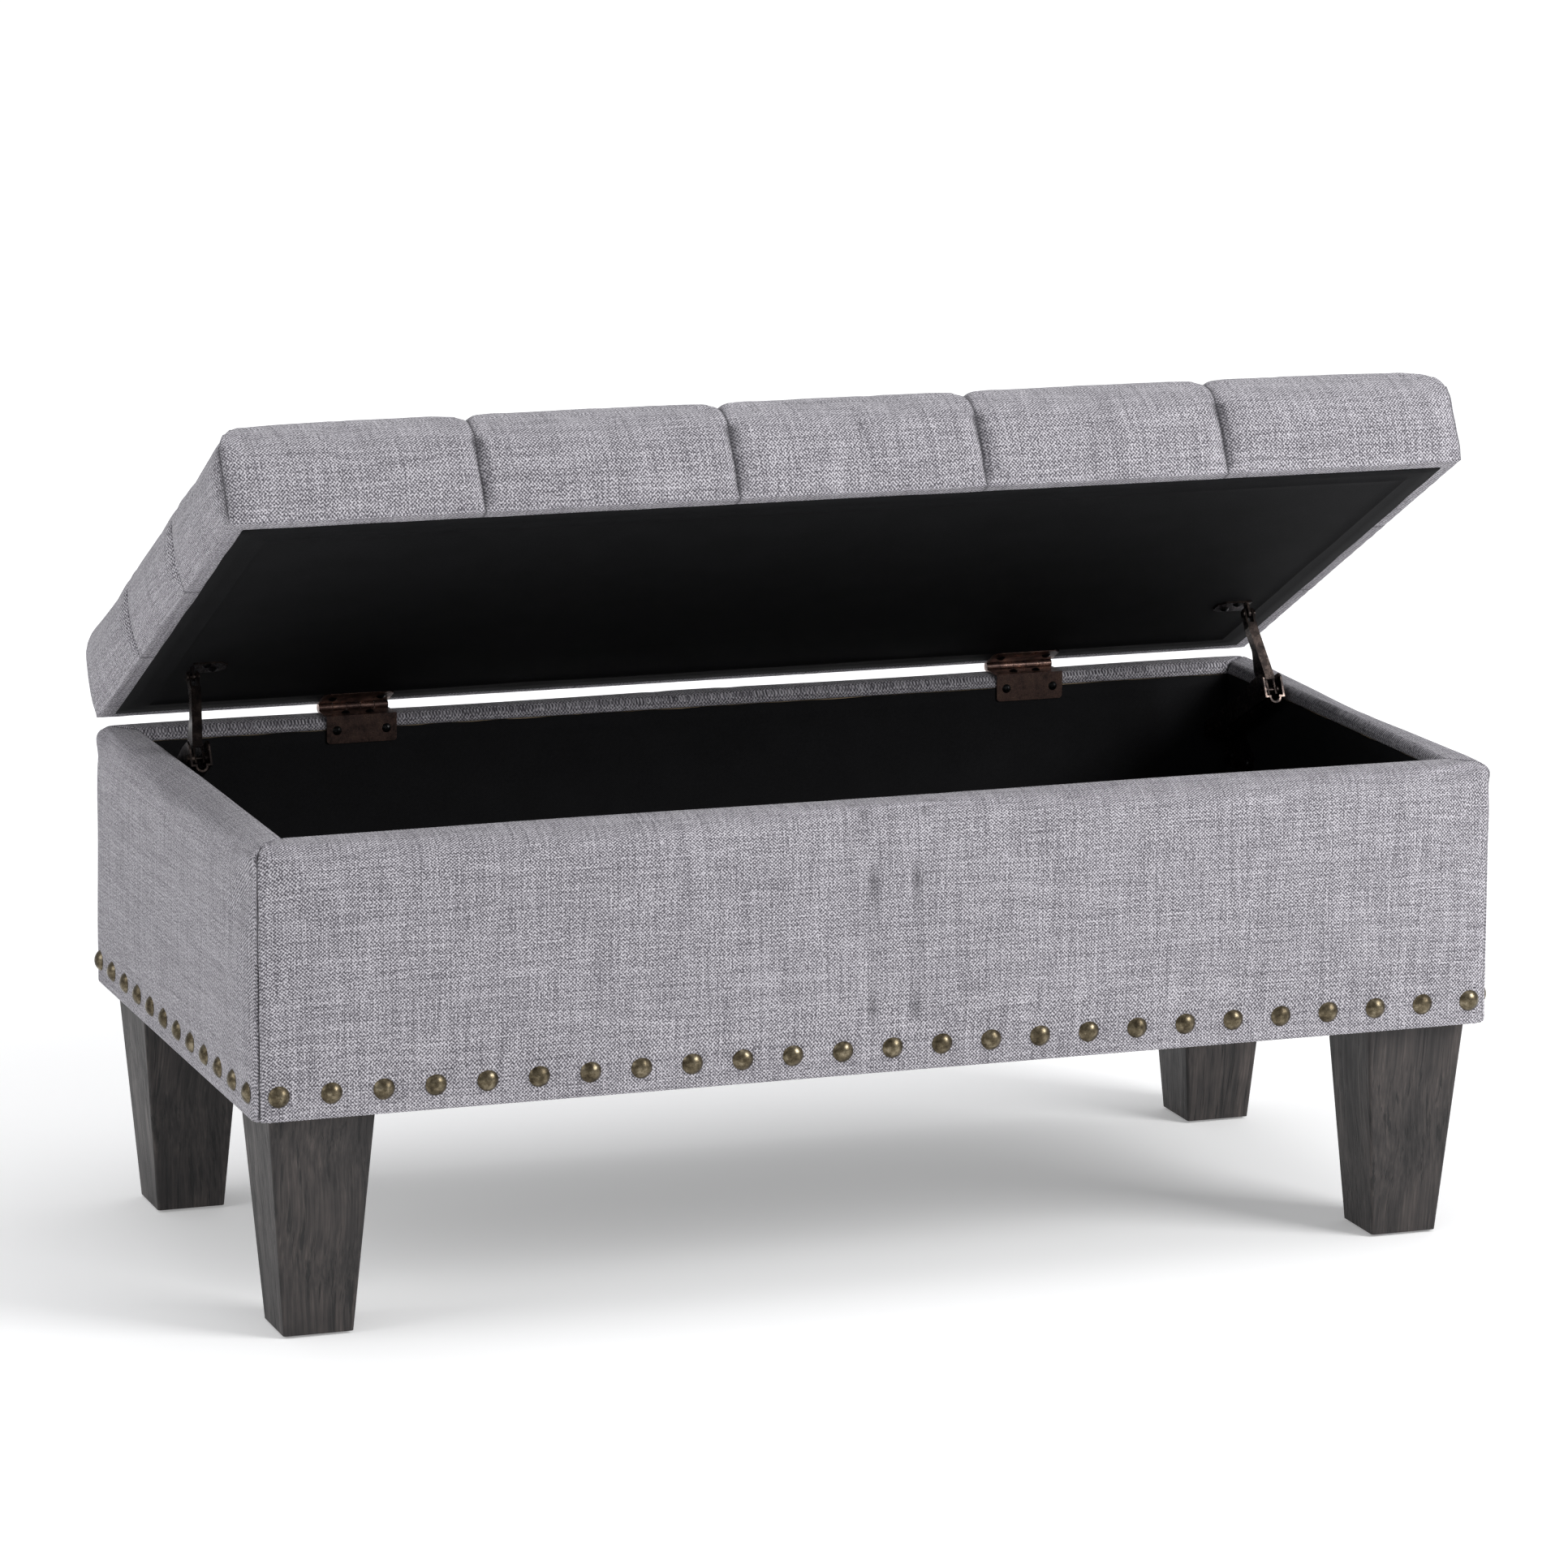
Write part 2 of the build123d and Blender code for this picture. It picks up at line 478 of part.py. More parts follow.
box_nodes["left_stay_base"], box_nodes["right_stay_base"] = base, mirror_x(base)
lid_nodes["left_stay_bracket"], lid_nodes["right_stay_bracket"] = bracket, mirror_x(bracket)
box_nodes["stay_base_rivets"] = group([base_rivet, mirror_x(base_rivet)])
box_nodes["stay_base_screws"] = group(base_screws + [mirror_x(q) for q in base_screws])
lid_nodes["stay_bracket_rivets"] = group([bracket_rivet, mirror_x(bracket_rivet)])
lid_nodes["stay_bracket_screws"] = group(bracket_screws + [mirror_x(q) for q in bracket_screws])
for side, m_ in (("left", lambda q: q), ("right", mirror_x)):
    bores = [m_(q) for q in base_bores]
    panels[f"{side}_panel"] -= bores
    liners[side] -= bores
    lid_holes += [m_(q) for q in bracket_bores]
    box_nodes[f"{side}_stay_link"] = m_(link)
    box_nodes[f"{side}_stay_arm"] = m_(arm)
    box_nodes[f"{side}_stay_elbow_rivet"] = m_(elbow_rivet)
    box_nodes[f"{side}_stay_elbow_washers"] = group([m_(q) for q in washers])

lid_liner -= lid_holes
lid_cover -= lid_holes
lid_board -= lid_holes
lid_nodes.update(lid_cover=lid_cover, lid_foam=lid_foam, lid_board=lid_board, lid_liner=lid_liner)

box_nodes.update(panels, bottom_panel=bottom_panel, floor_liner=floor_liner, dust_cover=dust_cover)
for side in ("front", "rear", "left", "right"):
    box_nodes[f"{side}_cover"] = covers[side]
    box_nodes[f"{side}_padding"] = pads[side]
    box_nodes[f"{side}_liner"] = liners[side]

# ---- place the origin and write one file for each node ----
nodes = dict(box_nodes)
nodes.update({name: raise_lid(shape) for name, shape in lid_nodes.items()})
spans = [s.bounding_box() for s in nodes.values()]
SHIFT_Y = -(min(q.min.Y for q in spans) + max(q.max.Y for q in spans)) / 2

os.makedirs("parts", exist_ok=True)
for name, shape in nodes.items():
    export_step(Pos(0, SHIFT_Y, 0) * shape, f"parts/{name}.step")
print(len(nodes), "nodes, y shift", round(SHIFT_Y, 4))
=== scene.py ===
"""Storage bench: linen upholstery, linings, finishes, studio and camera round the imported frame."""
import json
from math import cos, exp, hypot, radians, sin, tanh

import bmesh
import bpy
from mathutils import Matrix, Vector, noise


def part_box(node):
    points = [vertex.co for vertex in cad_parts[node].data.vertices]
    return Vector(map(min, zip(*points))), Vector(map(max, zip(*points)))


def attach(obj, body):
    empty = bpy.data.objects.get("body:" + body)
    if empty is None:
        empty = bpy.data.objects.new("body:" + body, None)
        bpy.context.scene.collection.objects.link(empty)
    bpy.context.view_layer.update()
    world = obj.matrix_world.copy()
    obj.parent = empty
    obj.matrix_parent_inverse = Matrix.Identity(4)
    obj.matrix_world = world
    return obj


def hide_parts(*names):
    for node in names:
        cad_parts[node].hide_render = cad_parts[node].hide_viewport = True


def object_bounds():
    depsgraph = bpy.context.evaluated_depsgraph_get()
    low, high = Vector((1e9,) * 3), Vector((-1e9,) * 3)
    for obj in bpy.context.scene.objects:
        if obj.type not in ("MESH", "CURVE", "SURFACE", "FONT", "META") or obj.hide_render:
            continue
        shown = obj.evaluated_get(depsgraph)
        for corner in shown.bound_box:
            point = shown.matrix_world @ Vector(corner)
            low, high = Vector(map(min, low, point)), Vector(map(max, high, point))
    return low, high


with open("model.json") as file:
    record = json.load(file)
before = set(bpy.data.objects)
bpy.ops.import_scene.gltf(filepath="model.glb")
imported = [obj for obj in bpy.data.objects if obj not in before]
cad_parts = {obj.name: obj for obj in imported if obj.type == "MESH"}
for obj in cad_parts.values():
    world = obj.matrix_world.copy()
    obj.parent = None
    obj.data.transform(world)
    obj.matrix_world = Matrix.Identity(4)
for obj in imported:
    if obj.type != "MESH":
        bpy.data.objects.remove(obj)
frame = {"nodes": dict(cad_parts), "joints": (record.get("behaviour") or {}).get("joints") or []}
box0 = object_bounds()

MM = 0.001
NODES = frame["nodes"]
HINGE = next(j for j in frame["joints"] if j["name"] == "lid_hinge")
PIN = Vector(HINGE["pos_m"])
LID_ANGLE = radians(-HINGE["range_deg"][0])
RAISE = Matrix.Translation(PIN) @ Matrix.Rotation(-LID_ANGLE, 4, "X") @ Matrix.Translation(-PIN)
SHUT = RAISE.inverted()


def shut_box(node):
    """Lowest and highest corner of a lid node with the lid closed."""
    points = [SHUT @ v.co for v in NODES[node].data.vertices]
    return (Vector([min(p[i] for p in points) for i in range(3)]),
            Vector([max(p[i] for p in points) for i in range(3)]))


# ---------------------------------------------------------------- materials

def finish(name, **sockets):
    """A new material with constants set on its shader's own sockets."""
    made = bpy.data.materials.new(name)
    made.use_nodes = True
    shader = made.node_tree.nodes["Principled BSDF"]
    for key, value in sockets.items():
        shader.inputs[key.replace("_", " ")].default_value = value
    return made, made.node_tree, shader


def put(tree, kind, inputs=None, out=0, **settings):
    """Adds a node, sets or links its inputs and returns one output."""
    made = tree.nodes.new("ShaderNode" + kind)
    for key, value in settings.items():
        setattr(made, key, value)
    for key, value in (inputs or {}).items():
        if isinstance(value, bpy.types.NodeSocket):
            tree.links.new(value, made.inputs[key])
        else:
            made.inputs[key].default_value = value
    return made.outputs[out]


def maths(tree, what, a, b=0.0, c=0.0):
    return put(tree, "Math", {0: a, 1: b, 2: c}, operation=what)


def stretched_noise(tree, where, scale, detail=2.0, rough=0.6, offset=(0, 0, 0)):
    """Noise whose grains are drawn out along the axes with a small scale."""
    laid = put(tree, "Mapping", {"Vector": where, "Scale": scale, "Location": offset})
    return put(tree, "TexNoise", {"Vector": laid, "Scale": 1.0, "Detail": detail, "Roughness": rough})


def spread(tree, value, low, high, to_low=0.0, to_high=1.0):
    return put(tree, "MapRange", {"Value": value, "From Min": low, "From Max": high,
                                  "To Min": to_low, "To Max": to_high})


def ramp(tree, value, stops):
    """Colours along a value: stops are (place, (r, g, b))."""
    made = tree.nodes.new("ShaderNodeValToRGB")
    tree.links.new(value, made.inputs[0])
    bar = made.color_ramp.elements
    while len(bar) < len(stops):
        bar.new(0.5)
    for mark, (place, colour) in zip(bar, stops):
        mark.position = place
        mark.color = (*colour, 1)
    return made.outputs[0]


def bumped(tree, shader, height, distance, strength=1.0):
    normal = put(tree, "Bump", {"Height": height, "Distance": distance, "Strength": strength})
    tree.links.new(normal, shader.inputs["Normal"])


HALF_TURN = 3.14159
QUARTER_TURN = 1.5708  # the cloth simulation answers to its last digit
THREAD = 1.4 * MM  # pitch of the weave
SLUB = 90 * MM  # length over which a thread keeps its thickness
CLOTH_ORIGIN = (7.31, 5.17, 0)  # moves the weave along the cloth
FINE_THREADS = (1.6, 2.2, 0.40, 0)  # across, along, strength, seed
THICK_THREADS = (1.0, 5.0, 0.06, 4)


def slubbed_linen():
    """Plain weave of uneven threads, laid in metres on the cloth's own map."""
    made, tree, shader = finish("slubbed_linen", Roughness=0.92, Sheen_Weight=0.12, Sheen_Roughness=0.6,
                                Specular_IOR_Level=0.25)
    laid = put(tree, "UVMap", uv_map="cloth")
    flat = put(tree, "VectorMath", {0: laid, 1: CLOTH_ORIGIN}, operation="ADD")
    wander = put(tree, "TexNoise", {"Vector": flat, "Scale": 30.0, "Detail": 1.0}, out=1)
    drift = put(tree, "VectorMath", {0: wander, 1: (0.5, 0.5, 0.5)}, operation="SUBTRACT")
    drift = put(tree, "VectorMath", {0: drift, "Scale": 0.8 * MM}, operation="SCALE")
    cloth = put(tree, "VectorMath", {0: flat, 1: drift}, operation="ADD")
    tone = None
    for across, along, strength, seed in (FINE_THREADS, THICK_THREADS):
        for scale in ((across / THREAD, along / SLUB, 1), (along / SLUB, across / THREAD, 1)):
            thread = stretched_noise(tree, cloth, scale, 2.0, 0.5, (seed, seed + scale[0] % 3, 0.5))
            part = maths(tree, "SUBTRACT", thread, 0.5)
            tone = maths(tree, "MULTIPLY_ADD", part, strength, 0.5 if tone is None else tone)
    parts = tree.nodes.new("ShaderNodeSeparateXYZ")
    tree.links.new(cloth, parts.inputs[0])
    wave_u = maths(tree, "SINE", maths(tree, "MULTIPLY", parts.outputs[0], HALF_TURN / THREAD))
    wave_v = maths(tree, "SINE", maths(tree, "MULTIPLY", parts.outputs[1], HALF_TURN / THREAD))
    over = maths(tree, "MULTIPLY", wave_u, wave_v)
    fleck = put(tree, "TexNoise", {"Vector": cloth, "Scale": 700.0, "Detail": 1.0})
    cloud = put(tree, "TexNoise", {"Vector": flat, "Scale": 9.0, "Detail": 2.0})
    tone = maths(tree, "ADD", maths(tree, "SUBTRACT", fleck, 0.5), tone)
    tone = maths(tree, "MULTIPLY_ADD", over, 0.26, tone)
    tone = maths(tree, "MULTIPLY_ADD", maths(tree, "SUBTRACT", cloud, 0.5), 0.03, tone)
    colour = ramp(tree, tone, [(0.20, (0.058, 0.054, 0.065)), (0.38, (0.145, 0.137, 0.155)),
                               (0.52, (0.272, 0.260, 0.286)), (0.72, (0.63, 0.61, 0.65))])
    # Painted shade: where the seam weight is high the cloth is mixed towards near black, standing in for
    # the shade in the seam creases.
    seam = put(tree, "Attribute", out=2, attribute_name="seam")
    shaded = put(tree, "Mix", {0: seam, 6: colour, 7: (0.030, 0.028, 0.034, 1)}, out=2, data_type="RGBA")
    tree.links.new(shaded, shader.inputs["Base Color"])
    height = maths(tree, "MULTIPLY_ADD", maths(tree, "ABSOLUTE", over), 0.5, tone)
    bumped(tree, shader, height, 0.35 * MM, 0.6)
    return made


def lining_cloth(name, pitch, sheen):
    """Black cloth with a fine diagonal weave."""
    made, tree, shader = finish(name, Roughness=0.85, Sheen_Weight=sheen, Specular_IOR_Level=0.12)
    place = put(tree, "TexCoord", out=3)
    ribs = put(tree, "Mapping", {"Vector": place, "Rotation": (0.6, 0.7, 0.8)})
    rib = put(tree, "TexWave", {"Vector": ribs, "Scale": 1 / pitch / 3, "Distortion": 1.5, "Detail": 2.0,
                                "Detail Scale": 2.0}, out=1)
    fuzz = put(tree, "TexNoise", {"Vector": place, "Scale": 900.0, "Detail": 2.0})
    mottle = put(tree, "TexNoise", {"Vector": place, "Scale": 25.0, "Detail": 3.0})
    tone = maths(tree, "MULTIPLY_ADD", rib, 0.4, maths(tree, "MULTIPLY", fuzz, 0.5))
    tone = maths(tree, "MULTIPLY_ADD", mottle, 0.3, tone)
    colour = ramp(tree, tone, [(0.3, (0.0028, 0.0028, 0.0031)), (0.85, (0.0130, 0.0130, 0.0143))])
    tree.links.new(colour, shader.inputs["Base Color"])
    bumped(tree, shader, tone, 0.3 * MM, 0.7)
    return made


def stained_wood():
    """Dark weathered stain over open grain that runs up the leg."""
    made, tree, shader = finish("stained_leg_wood", Specular_IOR_Level=0.4)
    place = put(tree, "TexCoord", out=3)
    bend = put(tree, "TexNoise", {"Vector": place, "Scale": 9.0, "Detail": 1.0}, out=1)
    bend = put(tree, "VectorMath", {0: bend, "Scale": 0.02}, operation="SCALE")
    grown = put(tree, "VectorMath", {0: place, 1: bend}, operation="ADD")
    bands = stretched_noise(tree, grown, (70, 70, 3.5), 4.0, 0.65)
    pores = stretched_noise(tree, grown, (520, 520, 16), 2.0, 0.6, (3, 1, 2))
    cracks = stretched_noise(tree, grown, (240, 240, 7), 3.0, 0.7, (1, 5, 4))
    worn = put(tree, "TexNoise", {"Vector": place, "Scale": 14.0, "Detail": 4.0, "Roughness": 0.7})
    tone = maths(tree, "MULTIPLY_ADD", pores, 0.45, maths(tree, "MULTIPLY", bands, 0.55))
    tone = maths(tree, "MULTIPLY_ADD", maths(tree, "SUBTRACT", worn, 0.5), 0.35, tone)
    colour = ramp(tree, tone, [(0.30, (0.0074, 0.0068, 0.0070)), (0.46, (0.0238, 0.0204, 0.0200)),
                               (0.58, (0.0435, 0.0360, 0.0336)), (0.75, (0.0968, 0.0784, 0.0720))])
    line = spread(tree, cracks, 0.36, 0.44)
    dark = put(tree, "Mix", {0: line, 6: (0.010, 0.009, 0.009, 1), 7: colour}, out=2, data_type="RGBA")
    tree.links.new(dark, shader.inputs["Base Color"])
    tree.links.new(spread(tree, tone, 0.3, 0.7, 0.62, 0.42), shader.inputs["Roughness"])
    bumped(tree, shader, maths(tree, "MULTIPLY_ADD", line, 0.6, tone), 0.6 * MM, 0.8)
    return made


def plain_board():
    made, tree, shader = finish("raw_board", Roughness=0.75)
    place = put(tree, "TexCoord", out=3)
    grain = stretched_noise(tree, place, (6, 90, 90), 4.0, 0.6)
    colour = ramp(tree, grain, [(0.35, (0.36, 0.26, 0.16)), (0.65, (0.58, 0.45, 0.30))])
    tree.links.new(colour, shader.inputs["Base Color"])
    bumped(tree, shader, grain, 0.2 * MM, 0.5)
    return made


RUBBED = 0.18  # how much smoother the rubbed spots are


def plated(name, dark, middle, light, rough, patch, metallic=0.9):
    """Aged plating: mottled in patches, finely pitted, with rubbed spots."""
    made, tree, shader = finish(name, Metallic=metallic)
    place = put(tree, "TexCoord", out=3)
    patches = put(tree, "TexNoise", {"Vector": place, "Scale": patch, "Detail": 5.0, "Roughness": 0.65})
    pits = put(tree, "TexNoise", {"Vector": place, "Scale": patch * 14, "Detail": 3.0})
    tone = maths(tree, "MULTIPLY_ADD", maths(tree, "SUBTRACT", pits, 0.5), 0.35, patches)
    colour = ramp(tree, tone, [(0.34, dark), (0.52, middle), (0.70, light)])
    tree.links.new(colour, shader.inputs["Base Color"])
    worn = spread(tree, tone, 0.3, 0.7, rough + RUBBED / 2, rough - RUBBED / 2)
    tree.links.new(worn, shader.inputs["Roughness"])
    bumped(tree, shader, tone, 0.12 * MM, 0.5)
    return made


LINEN = slubbed_linen()
LINING = lining_cloth("black_twill_lining", 0.9 * MM, 0.01)
CAMBRIC = lining_cloth("black_cambric", 0.6 * MM, 0.0)
WOOD = stained_wood()
BOARD = plain_board()
BRASS = plated("antique_brass", (0.040, 0.031, 0.019), (0.120, 0.097, 0.061),
               (0.27, 0.23, 0.16), 0.34, 170)
BRONZE = plated("antique_bronze", (0.052, 0.036, 0.032), (0.185, 0.118, 0.100),
                (0.44, 0.28, 0.22), 0.32, 90)
STAY_METAL = plated("dark_stay_metal", (0.011, 0.009, 0.009), (0.038, 0.029, 0.026),
                    (0.19, 0.145, 0.125), 0.28, 120)
ZINC = plated("zinc_plate", (0.36, 0.36, 0.35), (0.55, 0.55, 0.54), (0.72, 0.72, 0.70), 0.35, 90)
BLACK_OXIDE = plated("black_screw", (0.006, 0.006, 0.006), (0.016, 0.016, 0.017),
                     (0.05, 0.05, 0.05), 0.38, 200)
NYLON = plated("black_nylon", (0.025, 0.025, 0.026), (0.04, 0.04, 0.041),
               (0.06, 0.06, 0.06), 0.55, 80, metallic=0.0)

ENDS = ("left", "right")
CAD_FINISHES = [
    (WOOD, "stained_leg_wood", [f"{e}_{s}_leg" for e in ("front", "rear") for s in ENDS]),
    (BOARD, "board", ["front_panel", "rear_panel", "left_panel", "right_panel",
                      "bottom_panel", "lid_board"]),
    (BRASS, "antique_brass", ["nailheads_front", "nailheads_left", "nailheads_right"]),
    (BRONZE, "antique_bronze",
     [f"{s}_hinge_{p}" for s in ENDS for p in ("box_leaf", "lid_leaf", "pin")]),
    (BLACK_OXIDE, "black_screw", ["hinge_box_screws", "hinge_lid_screws", "stay_base_screws",
                                  "stay_bracket_screws"]),
    (STAY_METAL, "dark_stay_metal",
     [f"{s}_stay_{p}" for s in ENDS
      for p in ("base", "link", "arm", "bracket", "elbow_rivet", "elbow_washers")]
     + ["stay_base_rivets", "stay_bracket_rivets"]),
    (ZINC, "zinc_steel", ["frame_screws", "leg_bolts", "leg_tee_nuts"]),
    (NYLON, "nylon", ["leg_glides"]),
]
for material, slot, names in CAD_FINISHES:
    for name in names:
        NODES[name].data.materials.clear()
        NODES[name].data.materials.append(material)


# ---------------------------------------------------------------- soft work

def as_piece(name, bm, material):
    """Turns a bmesh into a smooth-shaded object at the origin."""
    mesh = bpy.data.meshes.new(name)
    bm.to_mesh(mesh)
    bm.free()
    mesh.materials.append(material)
    mesh.polygons.foreach_set("use_smooth", [True] * len(mesh.polygons))
    made = bpy.data.objects.new(name, mesh)
    bpy.context.scene.collection.objects.link(made)
    return made


def slice_at(bm, axis, places):
    """Cuts the whole shape with planes square to an axis, so that cloth has threads there to bend at."""
    square = Vector((axis == 0, axis == 1, axis == 2))
    for place in places:
        bmesh.ops.bisect_plane(bm, geom=bm.verts[:] + bm.edges[:] + bm.faces[:], dist=1e-6,
                               plane_co=square * place, plane_no=square)


def even(low, high, step):
    """Places between two ends, about a step apart."""
    count = max(1, round((high - low) / step))
    return [low + (high - low) * i / count for i in range(1, count)]


CLOTH_MOMENTS = 20


def stuff(piece, held, pressure, cap, spare):
    """Blows cloth up from inside with its held points fixed, and limits how far any point moves."""
    mesh = piece.data
    start = [v.co.copy() for v in mesh.vertices]
    group = piece.vertex_groups.new(name="held")
    for index, weight in held.items():
        group.add([index], weight, "REPLACE")
    cloth = piece.modifiers.new("Stuffing", "CLOTH")
    put_in = cloth.settings
    put_in.quality = 4
    put_in.mass = 0.3
    put_in.tension_stiffness = put_in.compression_stiffness = 12
    put_in.shear_stiffness = 5
    put_in.bending_stiffness = 1.5
    put_in.use_pressure = True
    put_in.uniform_pressure_force = pressure
    put_in.shrink_min = -spare
    put_in.effector_weights.gravity = 0
    put_in.vertex_group_mass = "held"
    put_in.pin_stiffness = 1
    for moment in range(1, CLOTH_MOMENTS + 1):
        bpy.context.scene.frame_set(moment)
    ready = piece.evaluated_get(bpy.context.evaluated_depsgraph_get())
    swollen = [v.co.copy() for v in ready.data.vertices]
    bpy.context.scene.frame_set(1)
    piece.modifiers.remove(cloth)
    piece.vertex_groups.remove(group)
    for vertex, was, now in zip(mesh.vertices, start, swollen):
        shift = now - was
        if shift.length > 1e-7:
            vertex.co = was + shift * (cap * tanh(shift.length / cap) / shift.length)
    mesh.update()


def lay_threads(bm, rule):
    """Writes the cloth's own map, in metres, from a rule on a corner's place and its face's direction."""
    layer = bm.loops.layers.uv.new("cloth")
    for face in bm.faces:
        for corner in face.loops:
            corner[layer].uv = rule(corner.vert.co, face.normal)


def mark_seam_shade(piece, depth_of):
    """Stores how deep in a seam each point lies, from 0 to 1, for the finish to darken as painted shade in
    the seam crease.
    """
    layer = piece.data.attributes.new("seam", "FLOAT", "POINT")
    layer.data.foreach_set("value", [depth_of(v.co) for v in piece.data.vertices])


def soften(piece):
    made = piece.modifiers.new("Soft", "SUBSURF")
    made.levels = made.render_levels = 1


# ---------------------------------------------------------------- lid cushion

COVER_LOW, COVER_HIGH = shut_box("lid_cover")
BOARD_LOW, BOARD_HIGH = shut_box("lid_board")
HEM = 30 * MM
ACROSS, DEEP = 5, 3
TOP_ROUND = 23 * MM
CROWN = 9 * MM
CROWN_RUN = 70 * MM  # from the edge to the full crown
SEAM = 1.3 * MM
LID_THREADS = 7.6 * MM
LID_PRESSURE, LID_SWELL, LID_SPARE = 34.0, 18 * MM, 0.014
LID_GROOVE, LID_CORNER_GROOVE = 4.2 * MM, 1.6 * MM
TINY = 1e-4  # two places closer than this are the same


def pillow_seams():
    size = COVER_HIGH - COVER_LOW
    return ([COVER_LOW.x + size.x * i / ACROSS for i in range(1, ACROSS)],
            [COVER_LOW.y + size.y * i / DEEP for i in range(1, DEEP)])


def cushion_block():
    """Rounded block with the hem turned in below and a recess for the board."""
    low = COVER_LOW + Vector((1.5, 1.5, 0)) * MM
    high = COVER_HIGH - Vector((1.5, 1.5, 1.0)) * MM
    bm = bmesh.new()
    bmesh.ops.create_cube(bm, size=1)
    bmesh.ops.scale(bm, vec=high - low, verts=bm.verts)
    bmesh.ops.translate(bm, vec=(low + high) / 2, verts=bm.verts)
    bottom = min(bm.faces, key=lambda f: f.calc_center_median().z)
    bmesh.ops.inset_region(bm, faces=[bottom], thickness=HEM, use_even_offset=True)
    for drop, wide in ((BOARD_LOW.z - low.z, 1), (0, 0), (BOARD_HIGH.z - BOARD_LOW.z, 1)):
        made = bmesh.ops.extrude_face_region(bm, geom=[bottom])
        bmesh.ops.delete(bm, geom=[bottom], context="FACES")
        bottom = next(g for g in made["geom"] if isinstance(g, bmesh.types.BMFace))
        if wide:
            bmesh.ops.translate(bm, vec=(0, 0, drop), verts=bottom.verts)
        else:
            for vert in bottom.verts:
                vert.co.x = BOARD_LOW.x if vert.co.x < 0 else BOARD_HIGH.x
                vert.co.y = BOARD_LOW.y if vert.co.y < (low.y + high.y) / 2 else BOARD_HIGH.y
    rim = [e for e in bm.edges if all(abs(v.co.z - high.z) < 1e-6 for v in e.verts)]
    bmesh.ops.bevel(bm, geom=rim, offset=TOP_ROUND, segments=5, profile=0.5, affect="EDGES", material=-1)
    foot = [e for e in bm.edges if all(abs(v.co.z - low.z) < 1e-6 for v in e.verts)
            and any(all(abs(v.co[axis] - end[axis]) < 1e-6 for v in e.verts)
                    for axis in (0, 1) for end in (low, high))]
    bmesh.ops.bevel(bm, geom=foot, offset=2.5 * MM, segments=2, profile=0.5, affect="EDGES", material=-1)
    return bm, low, high


def over_board(p):
    return abs(p.x) < BOARD_HIGH.x + TINY and BOARD_LOW.y - TINY < p.y < BOARD_HIGH.y + TINY


